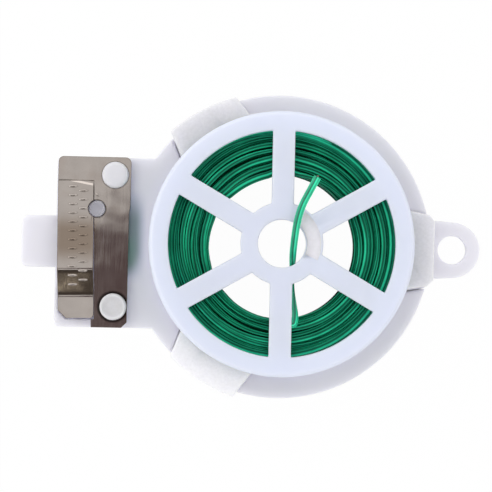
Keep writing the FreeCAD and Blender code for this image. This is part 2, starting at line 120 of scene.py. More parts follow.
# Turned outlines as (radius, height): a stake's head is spread over the sheet and leaves a thin skirt.
FLAT_HEAD = ((0.0, 1.12), (1.0, 1.14), (2.6, 1.2), (3.2, 1.12), (3.55, 0.88), (3.7, 0.5), (3.73, 0.14),
             (3.7, 0.0), (1.6, 0.0), (1.6, -0.6), (0.0, -0.6))
DISHED_HEAD = ((0.0, 0.7), (1.6, 0.72), (2.75, 0.84), (3.05, 1.06), (3.3, 1.12), (3.52, 1.0),
               (3.68, 0.6)) + FLAT_HEAD[6:]
PIN_OUTLINE = ((0.0, -0.34), (1.1, -0.3), (1.7, -0.14), (2.0, 0.0), (2.16, -0.04), (2.28, -0.2),
               (2.28, PIN_BOTTOM - PIN_TOP), (0.0, PIN_BOTTOM - PIN_TOP))

# The camera was fitted to the photograph: its eye, the point it looks at, its roll and its focal length.
CAMERA_EYE = (-10.467, -18.349, 438.236)
CAMERA_TARGET = (-1.392, -0.074, 0.0)
CAMERA_ROLL = 0.0218
CAMERA_FOCAL_PIXELS = 1557.4
PHOTO_PIXELS = 492
CAMERA_SENSOR = 36.0

# Tie: a quarter of its section, in shares of its width and thickness, and half the thickness of a wing
TIE_QUARTER = ((0.5, 0.0), (0.48, 0.13), (0.34, 0.17), (0.22, 0.3), (0.12, 0.45), (0.0, 0.5))
TIE_HALF = TIE_QUARTER + tuple((-x, y) for x, y in TIE_QUARTER[-2::-1])
TIE_SECTION = TIE_HALF + tuple((x, -y) for x, y in TIE_HALF[-2:0:-1])
WING_HALF = 0.13
# How bright its plastic is from its left wing (0) over its core (0.5) to its right wing (1): painted light
# and shade. The winding has a painted highlight on the ridge over the core and painted shade in the creases
# beside it; the free end has a dark line where its steel core shows through, a painted highlight beside it
# and painted light on its wing edges.
WINDING_PAINTED_LIGHT_AND_SHADE = ((0.0, 0.5), (1.0, 0.5), (0.23, 0.12), (0.33, 0.36), (0.42, 1.0), (0.58, 1.0), (0.67, 0.36),
                 (0.77, 0.12))
FREE_END_PAINTED_LIGHT_AND_SHADE = ((0.0, 0.6), (1.0, 1.0), (0.2, 0.36), (0.34, 0.16), (0.45, 0.2), (0.56, 1.0), (0.64, 0.9),
                  (0.8, 0.45))

# The free end's route, how far it is turned over at each point, and its steel core's outline at the tip
FREE_END_START = (1.1, -20.987, 17.1)
FREE_END_ROUTE = [
    (3.6, -22.3, 17.1),
    (4.2, -20.2, 16.6),
    (3.75, -15.6, 15.6),
    (3.15, -10.6, 15.2),
    (3.0, -3.3, 17.4),
    (3.3, 1.3, 20.0),
    (3.8, 5.8, 21.6),
    (5.0, 10.2, 22.0),
    (7.1, 14.2, 22.1),
    (9.0, 17.9, 22.5),
]
FREE_END_TILTS = [0, 10, 25, 55, 75, 20, 10, 5, 0, 0, 0]
CORE_OUTLINE = ((0.0, 0.5), (0.2, 0.5), (0.27, 0.36), (0.27, -0.4), (0.0, -0.4))

# Winding: its layers' section and its play under the flanges
WINDING_INSIDE, WINDING_OUTSIDE, SECTION_BEND, WINDING_PLAY = 20.3, 32.95, 1.6, 0.12
# How deep the second layer lies, and in what part of a turn the strand moves in to it
DEEP_LAYER, MOVE_IN = 1.45, 1 / 3
STATIONS_PER_TURN = 42
# How the strand wanders sideways, sinks and leans: waves a turn, and its reach
SIDEWAYS = ((0.21, 0.47, 0.83, 1.31, 1.9), 0.5)
SINKING = ((0.17, 0.39, 0.71, 1.13), 0.5)
LEANING = ((0.13, 0.33, 0.61, 1.07, 1.7), math.radians(105))
MOST_LEAN = math.radians(72)
# The first half turn is orderly, and in it the strand stands on its edge: at a turn, with a reach.
ORDERLY_TURNS = 0.5
ON_EDGE, ON_EDGE_LEAN, ON_EDGE_INWARD = (0.43, 0.13), math.radians(82), 0.3
# Where the free end crosses the second turn, and how far that gives way
CROSSED, CROSSED_DIP = (1.02, 0.07), 0.9
# The front sinks between two radii, and turns near the inside sag away from the posts.
SINK_RADII, SINK_DEPTH, SINK_TO_RIGHT = (26.0, 32.0), 1.7, 0.5
SAG, SAG_TO_FAR, SAG_TO_LEFT, SAG_REACH, SAG_FROM_MIDWAY = 1.4, 0.95, 0.6, 6.0, (26.5, 21.0)
# The core of inner turns: how far its sides lie in, and one ridge as shares of its width and depths
CORE_UNDER_OUTSIDE, CORE_UNDER_FLANGE = 3.0, 2.9
CORE_RIDGE = ((0.0, 0.5), (0.18, 0.15), (0.5, 0.0), (0.82, 0.15))

# Stage, in metres: the bare metal mirrors the room, which dark cards and bright panes stand for.
# Each has a colour, a strength, a size, a place and a turn.
CARDS = {
    "card_over_blade": ("#78696B", 1.0, (0.12, 0.1), (-0.04, -0.0095, 0.44), 31.0),
    "card_under_camera": ("#5C544D", 1.0, (0.25, 0.43), (-0.125, -0.335, 0.441), 0.0),
    "small_pane": ("#FFF4DC", 2.6, (0.02, 0.006), (-0.0985, -0.3855, 0.439), 12.0),
    "far_pane": ("#FFFFFF", 2.0, (1.2, 0.7), (-0.1, 0.79, 0.44), 0.0),
    "left_pane": ("#FFFFFF", 2.2, (0.5, 0.9), (-0.62, 0.0, 0.44), 0.0),
}
FLOOR_SIZE, FLOOR_PLACE = (3.0, 3.0), (0.0, 0.0, -0.00002)
LAMP_SIZE, LAMP_WATTS, LAMP_PLACE = 0.9, 1.85, (-0.7, 0.29, 0.53)
# The white room as a light, and as it is seen
ROOM_LIGHT, ROOM_SEEN = 0.97, 1.0
# The share of the floor that is white to the eye; the rest keeps the object's shadow.
FLOOR_WHITE = 0.975
# Under the disc, where only its slots show it, the paper lies in full shadow between these radii.
SHADOW_STARTS, SHADOW_ENDS = (25.5, 27.0), (41.0, 42.4)

# How finely shapes are drawn, and how near is the same place
CIRCLE_STEPS_PER_MM, LEAST_CIRCLE_STEPS = 5.2, 40
ARC_STEP, ARC_STEPS_PER_RADIAN, LEAST_ARC_STEPS = 1.2, 8, 4
TURNED_STEPS, CORE_STEPS, SMALL_STEPS, ROUND_SEGMENTS = 48, 128, 16, 8
WINDING_RESOLUTION, FREE_END_RESOLUTION = 2, 16
SHARP_ANGLE, FLAT_ANGLE = math.radians(30.0), math.radians(0.4)
SAME_PLACE, NEAR = 0.0005, 0.01
UPWARDS = Vector((0.0, 0.0, 1.0))
# Noise lies mostly between these.
NOISE_LOW, NOISE_HIGH = 0.3, 0.7
ORIGIN = Vector()


def linear(hex_colour):
    """An sRGB hex colour as linear red, green, blue and alpha."""
    channels = [int(hex_colour[place:place + 2], 16) / 255 for place in (1, 3, 5)]
    return [c / 12.92 if c <= 0.04045 else ((c + 0.055) / 1.055) ** 2.4 for c in channels] + [1.0]


def in_metres(x, y, z=0.0):
    """A place round the spool's axis in the frame's metres."""
    return (AXIS_X + x) * MM, y * MM, z * MM


def polar(radius, angle):
    """A place in plan at an angle in degrees round the axis."""
    return radius * math.cos(math.radians(angle)), radius * math.sin(math.radians(angle))


def share_between(low, high, value):
    """0 at low and before it, 1 at high and beyond, and even in between."""
    return max(0.0, min(1.0, (value - low) / (high - low)))


def eased(share):
    """A share that starts and ends gently."""
    return share * share * (3.0 - 2.0 * share)


def bell(value, middle, reach):
    """1 at the middle, and 0 beyond its reach."""
    share = min(1.0, abs(value - middle) / reach)
    return 0.5 + 0.5 * math.cos(math.pi * share)


class TieSpoolSizes(bpy.types.PropertyGroup):
    """Sizes that a user would change."""
    moulded_edge: bpy.props.FloatProperty(
        name="Moulded edge", description="Round on the edges of the plastic mouldings",
        default=0.22 * MM, min=0.0, unit="LENGTH")
    sheet_edge: bpy.props.FloatProperty(
        name="Sheet edge", description="Round on the edges of the cutter's sheet",
        default=0.1 * MM, min=0.0, unit="LENGTH")
    tie_width: bpy.props.FloatProperty(
        name="Tie width", description="Width of the flat tie over its two wings",
        default=2.0 * MM, min=0.5 * MM, unit="LENGTH")
    tie_thickness: bpy.props.FloatProperty(
        name="Tie thickness", description="Thickness of the tie over its steel core",
        default=0.98 * MM, min=0.3 * MM, unit="LENGTH")
    turn_pitch: bpy.props.FloatProperty(
        name="Turn pitch", description="Mean distance between neighbouring turns of the winding",
        default=1.45 * MM, min=0.5 * MM, unit="LENGTH")
    winding_seed: bpy.props.IntProperty(
        name="Winding seed", description="Chooses how the turns wander", default=7, min=0)


COLOUR = {"subtype": "COLOR", "size": 4, "min": 0.0, "max": 1.0}


class TieSpoolColours(bpy.types.PropertyGroup):
    """Colours that a user would change."""
    base: bpy.props.FloatVectorProperty(
        name="Base", description="Colour of the base moulding", default=linear("#ECEAFE"), **COLOUR)
    spool: bpy.props.FloatVectorProperty(
        name="Spool", description="Colour of the spool's flanges", default=linear("#DADFFD"), **COLOUR)
    tie: bpy.props.FloatVectorProperty(
        name="Tie", description="Colour of the tie's plastic", default=linear("#2AC494"), **COLOUR)
    steel: bpy.props.FloatVectorProperty(
        name="Plated steel", description="Colour of the nickel plating", default=linear("#ACA49E"), **COLOUR)


# Materials

def add_node(tree, kind, inputs=None, **settings):
    """Adds a shader node. An input takes a value, an output, or a node for its first output in use."""
    node = tree.nodes.new("ShaderNode" + kind)
    for name, value in settings.items():
        setattr(node, name, value)
    for name, value in (inputs or {}).items():
        if isinstance(value, bpy.types.Node):
            value = next(output for output in value.outputs if output.enabled)
        if isinstance(value, bpy.types.NodeSocket):
            tree.links.new(value, node.inputs[name])
        else:
            node.inputs[name].default_value = value
    return node


def new_material(name):
    """An empty node material and its tree."""
    material = bpy.data.materials.new(name)
    material.use_nodes = True
    material.node_tree.nodes.clear()
    return material, material.node_tree


def with_surface(material, kind, inputs):
    """Gives a material its shader and returns it."""
    shader = add_node(material.node_tree, kind, inputs)
    add_node(material.node_tree, "OutputMaterial", {"Surface": shader})
    return material


def span(value, start, end, first, last):
    """The inputs that turn a value between start and end into one between first and last."""
    return {"Value": value, "From Min": start, "From Max": end, "To Min": first, "To Max": last}


def per_metre(size):
    """The noise scale that gives marks of about this size in millimetres."""
    return 1.0 / (size * MM)


def patches(tree, place, size, least, most, detail=3.0, low=NOISE_LOW):
    """A number that wanders between two limits, in soft patches of this size."""
    cloud = add_node(tree, "TexNoise", {"Vector": place, "Scale": per_metre(size), "Detail": detail})
    return add_node(tree, "MapRange", span(cloud, low, NOISE_HIGH, least, most))


def blotched(tree, place, colour, size, least, most, detail=3.0):
    """A colour whose brightness wanders in soft patches."""
    light = patches(tree, place, size, least, most, detail)
    return add_node(tree, "Mix", {"Factor": 1.0, "A": colour, "B": light}, data_type="RGBA",
                    blend_type="MULTIPLY")


def relief(tree, place, size, strength, height, smoothest, roughest, detail=2.0, under=None):
    """A fine relief, as the shader's roughness and normal; its height is in metres."""
    grain = add_node(tree, "TexNoise", {"Vector": place, "Scale": per_metre(size), "Detail": detail})
    rough = add_node(tree, "MapRange", span(grain, NOISE_LOW, NOISE_HIGH, smoothest, roughest))
    bump = {"Height": grain, "Strength": strength, "Distance": height}
    if under:
        bump["Normal"] = under
    return {"Roughness": rough, "Normal": add_node(tree, "Bump", bump)}


def by_distance(tree, place, middle, near, far, at_near, at_far):
    """A number that changes gently as the distance from a middle goes from near to far."""
    apart = add_node(tree, "VectorMath", {0: place, 1: in_metres(*middle)}, operation="DISTANCE")
    return add_node(tree, "MapRange", span(apart, near * MM, far * MM, at_near, at_far),
                    interpolation_type="SMOOTHSTEP")


def tinted_in_box(tree, place, colour, stain_and_shade, middle, full, reach):
    """A colour with another one over it: full in a box round a middle, and gone beyond its soft reach; it
    paints shade.
    """
    apart = add_node(tree, "VectorMath", {0: place, 1: in_metres(*middle)}, operation="SUBTRACT")
    apart = add_node(tree, "VectorMath", {0: apart}, operation="ABSOLUTE")
    parts = add_node(tree, "SeparateXYZ", {"Vector": apart})
    across, along = (
        add_node(tree, "MapRange", span(part, start * MM, end * MM, 1.0, 0.0),
                 interpolation_type="SMOOTHSTEP")
        for part, start, end in zip(parts.outputs, full, reach))
    share = add_node(tree, "Math", {0: across, 1: along}, operation="MULTIPLY")
    return add_node(tree, "Mix", {"Factor": share, "A": colour, "B": linear(stain_and_shade)}, data_type="RGBA")


def painted_shade_beside_sheet(tree, place, colour):
    """Painted shade on the plate beside the cutter's sheet: grey, green towards its lower end, and soft at
    its edges.
    """
    grey = tinted_in_box(tree, place, colour, "#8F9FA6", (-42.2, 2.0), (1.6, 3.5), (5.4, 14.0))
    return tinted_in_box(tree, place, grey, "#84A39E", (-42.2, -3.0), (0.5, 1.0), (3.2, 7.0))


def speckled(tree, place, colour):
    """The fine speckle of the hooks' matt tops, of about 0.7 mm."""
    return blotched(tree, place, colour, 0.7, 0.95, 1.03, 4.0)


def cloudy(tree, place, colour):
    """A slightly warmer, cloudier skin with clouds of 0.9 mm, as over a mould's gate."""
    return blotched(tree, place, linear("#E8E5F0"), 0.9, 0.96, 1.02, 4.0)


def moulded_polystyrene(name, colour, roughness, mark=None):
    """High-impact polystyrene from a polished mould: a satin white skin that light enters a little."""
    if name in bpy.data.materials:
        return bpy.data.materials[name]
    material, tree = new_material(name)
    place = add_node(tree, "TexCoord").outputs["Object"]
    # Flow patches of about 9 mm that are barely seen
    tint = blotched(tree, place, colour, 9.0, 0.985, 1.0)
    if mark:
        tint = mark(tree, place, tint)
    # A 0.3 mm orange peel, drawn 0.8 mm so that it shows
    peel = relief(tree, place, 0.8, 0.12, 0.00004, roughness - 0.04, roughness + 0.05)
    return with_surface(material, "BsdfPrincipled",
                        {"Base Color": tint, "IOR": 1.59, "Subsurface Weight": 0.8,
                         "Subsurface Radius": (1.0, 1.0, 1.1), "Subsurface Scale": 0.004, **peel})


def nickel_plated_steel(name, colour):
    """Thin cold-rolled spring steel with bright nickel: a warm grey mirror that fine rolling lines blur."""
    material, tree = new_material(name)
    place = add_node(tree, "TexCoord").outputs["Object"]
    tint = blotched(tree, place, colour, 6.0, 0.93, 1.04)
    # Handling leaves faint brown stains of about 7 mm, laid on thick enough to darken the metal as painted
    # shade too, and the middle of the leg is painted darker brown: painted shade.
    stain_and_shade = patches(tree, place, 7.0, 0.0, 0.25, low=0.48)
    tint = add_node(tree, "Mix", {"Factor": stain_and_shade, "A": tint, "B": linear("#8F7D72")}, data_type="RGBA")
    tint = tinted_in_box(tree, place, tint, "#8A7C70", (-56.6, 0.8), (4.0, 2.0), (7.0, 8.0))
    # Painted shade round the stakes and the pin, where the metal beside their heads lies in shade: how far it
    # is full, and where it ends.
    for (x, y), shade_full_to, shade_gone_at in ((STAKE_PLACES["upper_stake"], 3.7, 4.0),
                                 (STAKE_PLACES["lower_stake"], 4.05, 4.7), (PIN_PLACE, 2.45, 2.75)):
        painted_contact_shade = by_distance(tree, place, (x, y, SHEET_TOP), shade_full_to, shade_gone_at, 0.9, 0.0)
        tint = add_node(tree, "Mix", {"Factor": painted_contact_shade, "A": tint, "B": linear("#37322F")}, data_type="RGBA")
    # The thin sheet isn't quite flat: waves of about 9 mm bend what it mirrors.
    waves = add_node(tree, "TexNoise", {"Vector": place, "Scale": per_metre(9.0), "Detail": 1.0})
    waves = add_node(tree, "Bump", {"Height": waves, "Strength": 1.0, "Distance": 0.00014})
    # Rolling lines run along the strip: 0.15 mm apart in life, drawn 0.35 mm apart so that they show.
    along = add_node(tree, "Mapping", {"Vector": place, "Scale": (1.0, 0.04, 1.0)})
    lines = relief(tree, along, 0.35, 0.025, 0.00002, 0.08, 0.13, 3.0, waves)
    return with_surface(material, "BsdfPrincipled", {"Base Color": tint, "Metallic": 1.0, **lines})


def bare_steel(name, hex_colour, size, darkest, metallic, roughness):
    """Steel with no plating, dulled in patches of this size."""
    material, tree = new_material(name)
    place = add_node(tree, "TexCoord").outputs["Object"]
    tint = blotched(tree, place, linear(hex_colour), size, darkest, 1.1)
    return with_surface(material, "BsdfPrincipled",
                        {"Base Color": tint, "Metallic": metallic, "Roughness": roughness})


def soft_tie_plastic(name, colour, glow, painted_light_and_shade, gloss=0.08, roughness=0.3):
    """Polyethylene drawn over a steel core, with painted light and shade across its section: a painted
    highlight on the ridge, painted shade in the creases beside it, and painted light in its thin wings.
    """
    material, tree = new_material(name)
    place = add_node(tree, "TexCoord").outputs["Object"]
    tint = blotched(tree, place, colour, 5.0, 0.8, 1.15)
    # Painted light and shade across the section: painted shade beside the core, where the section is pinched,
    # and painted light in the wings beyond it, where light passes them.
    across = add_node(tree, "Attribute", attribute_name="across").outputs["Fac"]
    across = add_node(tree, "MapRange", {"Value": across, "From Min": -1.0})
    shares = add_node(tree, "ValToRGB", {"Fac": across})
    shares.color_ramp.interpolation = "EASE"
    steps = shares.color_ramp.elements
    for index, (share, tone) in enumerate(painted_light_and_shade):
        step = steps[index] if index in (0, 1) else steps.new(share)
        step.position = share
        step.color = (tone, tone, tone, 1.0)
    tint = add_node(tree, "Mix", {"Factor": 1.0, "A": tint, "B": shares}, data_type="RGBA",
                    blend_type="MULTIPLY")
    # A ripple of about 1.5 mm from drawing and winding the tie
    ripple = relief(tree, place, 1.5, 0.15, 0.0001, roughness - 0.05, roughness + 0.07)
    return with_surface(material, "BsdfPrincipled",
                        {"Base Color": tint, "IOR": 1.51, "Specular IOR Level": gloss,
                         "Specular Tint": (0.5, 1.0, 0.85, 1.0), "Subsurface Weight": glow,
                         "Subsurface Radius": (0.2, 1.0, 0.7), "Subsurface Scale": 0.0002, **ripple})


def background_share(tree):
    """1 for rays that see the background: from the camera, from gloss and through clear things."""
    path = add_node(tree, "LightPath")
    camera, gloss, clear = (path.outputs["Is %s Ray" % ray] for ray in ("Camera", "Glossy", "Transmission"))
    seen = add_node(tree, "Math", {0: camera, 1: gloss}, operation="MAXIMUM")
    return add_node(tree, "Math", {0: seen, 1: clear}, operation="MAXIMUM")


def white_sweep(name):
    """A seamless paper sweep: white to the eye, and it keeps a faint part of the object's shadow."""
    material, tree = new_material(name)
    place = add_node(tree, "TexCoord").outputs["Object"]
    paper = add_node(tree, "BsdfDiffuse", {"Color": linear("#F7F7F7"), "Roughness": 0.5})
    white = add_node(tree, "Emission", {"Color": linear("#FFFFFF"), "Strength": 1.0})
    inside = by_distance(tree, place, ORIGIN, *SHADOW_STARTS, FLOOR_WHITE, 0.0)
    outside = by_distance(tree, place, ORIGIN, *SHADOW_ENDS, 0.0, FLOOR_WHITE)
    kept = add_node(tree, "Math", {0: inside, 1: outside}, operation="MAXIMUM")
    share = add_node(tree, "Math", {0: background_share(tree), 1: kept}, operation="MULTIPLY")
    return with_surface(material, "MixShader", {0: share, 1: paper, 2: white})


# Shapes

def add_object(name, data):
    """Puts an object with this data in the scene."""
    thing = bpy.data.objects.new(name, data)
    bpy.context.scene.collection.objects.link(thing)
    return thing


def add_mesh(name, bm, *materials):
    """Puts an object with this shape and these materials in the scene."""
    mesh = bpy.data.meshes.new(name)
    bm.to_mesh(mesh)
    bm.free()
    for material in materials:
        mesh.materials.append(material)
    return add_object(name, mesh)


def finish_piece(name, bm, body, material, replaced=(), edge=0.0, segments=3, left_sharp=None,
                 edge_material=None):
    """Makes a piece from a shape in millimetres round the spool's axis, and rounds its sharp edges.

    Edges whose ends pass left_sharp stay as they are. Walls and edges can have their own material."""
    if edge_material:
        for face in bm.faces:
            face.material_index = int(abs(face.normal.z) < 0.5)
    if left_sharp:
        weight = bm.edges.layers.float.new("bevel_weight_edge")
        for side in bm.edges:
            sharp = side.is_manifold and side.calc_face_angle() > SHARP_ANGLE
            side[weight] = float(sharp and not all(left_sharp(vertex.co) for vertex in side.verts))
    bmesh.ops.transform(bm, verts=bm.verts[:],
                        matrix=Matrix.Scale(MM, 4) @ Matrix.Translation((AXIS_X, 0.0, 0.0)))
    for face in bm.faces:
        face.smooth = True
    piece = add_mesh(name, bm, *[part for part in (material, edge_material) if part])
    if edge:
        rounding = piece.modifiers.new("rounded_edges", "BEVEL")
        rounding.width = edge
        rounding.segments = segments
        rounding.limit_method = "WEIGHT" if left_sharp else "ANGLE"
        rounding.use_clamp_overlap = not left_sharp
        rounding.angle_limit = SHARP_ANGLE
        rounding.harden_normals = True
        rounding.material = 1 if edge_material else -1
    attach(piece, body)
    if replaced:
        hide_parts(*replaced)
    return piece


def from_node(name):
    """A merged copy of a CAD node, in millimetres round the spool's axis, with its flat faces whole again."""
    bm = bmesh.new()
    bm.from_mesh(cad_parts[name].data)
    bmesh.ops.transform(bm, verts=bm.verts[:],
                        matrix=Matrix.Translation((-AXIS_X, 0.0, 0.0)) @ Matrix.Scale(1 / MM, 4))
    bmesh.ops.remove_doubles(bm, verts=bm.verts[:], dist=SAME_PLACE)
    bmesh.ops.dissolve_limit(bm, angle_limit=FLAT_ANGLE, verts=bm.verts[:], edges=bm.edges[:])
    return bm


def of_kind(kind, geometry):
    """The vertices, or the faces, among what an operator made."""
    return [part for part in geometry if isinstance(part, kind)]


def draw(bm, parts):
    """Draws a closed outline and returns its corners.

    A part is a corner (x, y), or (x, y, way) for an arc round that place, anticlockwise with 1."""
    corners, centre = [], None
    for part in parts + parts[:1]:
        if len(part) == 3:
            centre = part
            continue
        closing = len(corners) > 1 and part is parts[0]
        corner = corners[0] if closing else bm.verts.new((*part, 0.0))
        if corners and centre:
            x, y, way = centre
            last = corners[-1]
            turned = math.atan2(part[1] - y, part[0] - x) - math.atan2(last.co.y - y, last.co.x - x)
            turned = way * ((way * turned) % (2 * math.pi))
            length = math.hypot(part[0] - x, part[1] - y) * abs(turned)
            steps = max(LEAST_ARC_STEPS, round(length / ARC_STEP), round(abs(turned) * ARC_STEPS_PER_RADIAN))
            drawn = bmesh.ops.spin(bm, geom=[last], cent=(x, y, 0.0), axis=UPWARDS, dvec=ORIGIN, angle=turned,
                                   steps=steps, use_duplicate=False)
            tip = of_kind(bmesh.types.BMVert, drawn["geom_last"])[0]
            bmesh.ops.weld_verts(bm, targetmap={tip: corner})
        elif corners:
            bm.edges.new((corners[-1], corner))
        corners.append(corner)
        centre = None
    return corners[:-1]


def round_corners(bm, points, rounding):
    """Rounds corners of an outline."""
    bmesh.ops.bevel(bm, geom=points, offset=rounding, offset_type="OFFSET", segments=ROUND_SEGMENTS,
                    profile=0.5, affect="VERTICES", material=-1)


def circle(bm, radius, place=(0.0, 0.0)):
    """Draws a circle."""
    bmesh.ops.create_circle(bm, segments=max(LEAST_CIRCLE_STEPS, round(radius * CIRCLE_STEPS_PER_MM)),
                            radius=radius, matrix=Matrix.Translation((*place, 0.0)))


def fill(bm):
    """Fills the outlines and leaves the ones inside them open."""
    bmesh.ops.triangle_fill(bm, use_beauty=True, use_dissolve=False, edges=bm.edges[:])


def fill_pocket(bm, inside):
    """Fills the open outline whose vertices pass a test, and returns the middles of its faces."""
    filled = bmesh.ops.triangle_fill(bm, use_beauty=True, use_dissolve=False, edges=[
        edge for edge in bm.edges if edge.is_boundary and all(inside(vertex.co) for vertex in edge.verts)])
    return [face.calc_center_median().xy for face in of_kind(bmesh.types.BMFace, filled["geom"])]


def raise_faces(bm, faces, rise):
    """Raises a copy of faces, joined to them by walls, and returns the copy."""
    raised = bmesh.ops.extrude_face_region(bm, geom=faces)["geom"]
    bmesh.ops.translate(bm, vec=(0.0, 0.0, rise), verts=of_kind(bmesh.types.BMVert, raised))
    return of_kind(bmesh.types.BMFace, raised)


def lower_pocket(bm, middles, depth, material=0):
    """Lowers a pocket's part of the top into the shape, and gives its floor a material."""
    top = [face for face in bm.faces if face.normal.z > 0.9 and any(
        (face.calc_center_median().xy - middle).length < SAME_PLACE for middle in middles)]
    for face in raise_faces(bm, top, -depth):
        face.material_index = material
    bmesh.ops.delete(bm, geom=top, context="FACES_ONLY")
    bmesh.ops.recalc_face_normals(bm, faces=bm.faces[:])


def thicken(bm, bottom, thickness):
    """Gives a filled outline its height and its thickness upwards."""
    bmesh.ops.translate(bm, vec=(0.0, 0.0, bottom), verts=bm.verts[:])
    raise_faces(bm, bm.faces[:], thickness)
    bmesh.ops.recalc_face_normals(bm, faces=bm.faces[:])


def raise_mound(bm, place, turn, size):
    """Adds a rounded mound of three half sizes at a place, turned by a matrix."""
    bmesh.ops.create_icosphere(bm, subdivisions=3, radius=1.0,
                               matrix=Matrix.Translation(place) @ turn @ Matrix.Diagonal((*size, 1.0)))


def turned_piece(corners, place=ORIGIN, steps=TURNED_STEPS, closed=False):
    """Turns a line of (radius, height) corners, an open one with its ends on the axis, and places it."""
    bm = bmesh.new()
    points = [bm.verts.new((radius, 0.0, height)) for radius, height in corners]
    for pair in zip(points, points[1:] + points[:1] if closed else points[1:]):
        bm.edges.new(pair)
    bmesh.ops.spin(bm, geom=bm.verts[:] + bm.edges[:], cent=ORIGIN, axis=UPWARDS, dvec=ORIGIN,
                   angle=2 * math.pi, steps=steps, use_merge=True, use_duplicate=False)
    bmesh.ops.remove_doubles(bm, verts=bm.verts[:], dist=SAME_PLACE)
    bmesh.ops.recalc_face_normals(bm, faces=bm.faces[:])
    bmesh.ops.translate(bm, vec=place, verts=bm.verts[:])
    return bm


# Tie

def tie_profile(sizes, on_edge):
    """The tie's section as a closed curve: two thin wings and a round middle over the core."""
    outline = bpy.data.curves.new("tie_profile", "CURVE")
    outline.dimensions = "2D"
    spline = outline.splines.new("POLY")
    spline.points.add(len(TIE_SECTION) - 1)
    for point, (across, up) in zip(spline.points, TIE_SECTION):
        across, up = across * sizes.tie_width, up * sizes.tie_thickness
        point.co = (up, across, 0.0, 1.0) if on_edge else (across, up, 0.0, 1.0)
    spline.use_cyclic_u = True
    return bpy.data.objects.new("tie_profile", outline)


def strand(name, stations, profile, resolution):
    """A smooth curve through (place in metres, tilt) stations with the tie's section on it."""
    curve = bpy.data.curves.new(name, "CURVE")
    curve.dimensions = "3D"
    curve.twist_mode = "Z_UP"
    curve.bevel_mode = "OBJECT"
    curve.bevel_object = profile
    curve.use_fill_caps = True
    curve.resolution_u = curve.render_resolution_u = resolution
    spline = curve.splines.new("NURBS")
    spline.points.add(len(stations) - 1)
    for point, (place, tilt) in zip(spline.points, stations):
        point.co = (*place, 1.0)
        point.tilt = tilt
    spline.order_u = 3
    spline.use_endpoint_u = True
    return add_object(name, curve)


def lay_tie(name, stations, sizes, material, node, resolution, on_edge=False):
    """Makes a mesh piece of the tie on the spool, and returns it and the points of its line in metres."""
    profile = tie_profile(sizes, on_edge)
    line = strand(name, stations, profile, resolution)
    bpy.context.view_layer.update()
    graph = bpy.context.evaluated_depsgraph_get()
    mesh = bpy.data.meshes.new_from_object(line.evaluated_get(graph), depsgraph=graph)
    for curve_piece in (line, profile):
        curve = curve_piece.data
        bpy.data.objects.remove(curve_piece)
        bpy.data.curves.remove(curve)
    mesh.name = name
    mesh.materials.clear()
    mesh.materials.append(material)
    points, size = [vertex.co.copy() for vertex in mesh.vertices], len(TIE_SECTION)
    rings = [points[first:first + size] for first in range(0, len(points), size)]
    middles = [sum(ring, Vector()) / size for ring in rings]
    # The material reads a point's share across: 0 over the core, and -1 and 1 at the edges of the wings.
    wing = max(range(size), key=lambda index: (rings[0][index] - middles[0]).length)
    shares = []
    for ring, middle in zip(rings, middles):
        reach = ring[wing] - middle
        shares += [(point - middle).dot(reach) / reach.length_squared for point in ring]
    mesh.attributes.new("across", "FLOAT", "POINT").data.foreach_set("value", shares)
    piece = add_object(name, mesh)
    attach(piece, "spool")
    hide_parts(node)
    # The first two rings are those of the caps at its ends.
    return piece, [tuple(middle) for middle in middles[2:]]


def front_sink(radius, angle):
    """How far the winding's front lies back: it falls away under the rim, most of all at the right."""
    depth = SINK_DEPTH + SINK_TO_RIGHT * math.cos(math.radians(angle))
    return depth * eased(share_between(*SINK_RADII, radius))


def section_stretches(depth):
    """How long a layer's section is: along its front, its outside and its rear, with a bend between them."""
    front = WINDING_OUTSIDE - depth - SECTION_BEND - WINDING_INSIDE
    bend = SECTION_BEND * math.pi / 2
    return front, bend, FRONT_BOTTOM - REAR_TOP - 2 * (WINDING_PLAY + depth + SECTION_BEND), bend, front


def section_place(run, depth):
    """Radius, height and outward direction after a run along a layer's section."""
    radius, height, facing = WINDING_INSIDE, FRONT_BOTTOM - WINDING_PLAY - depth, 0.0
    for index, length in enumerate(section_stretches(depth)):
        step = min(run, length)
        run -= step
        if index % 2:
            after = facing + step / SECTION_BEND
            radius += SECTION_BEND * (math.sin(after) - math.sin(facing))
            height += SECTION_BEND * (math.cos(after) - math.cos(facing))
            facing = after
        else:
            radius += step * math.cos(facing)
            height -= step * math.sin(facing)
    return radius, height, facing


def wander(seed, frequencies, size):
    """A smooth function that wanders about zero."""
    dice = random.Random(seed)
    waves = [(frequency, dice.uniform(0, 2 * math.pi), dice.uniform(0.6, 1.0)) for frequency in frequencies]
    total = sum(share for _, _, share in waves)

    def value(turns):
        return size * sum(share * math.sin(2 * math.pi * frequency * turns + phase)
                          for frequency, phase, share in waves) / total
    return value


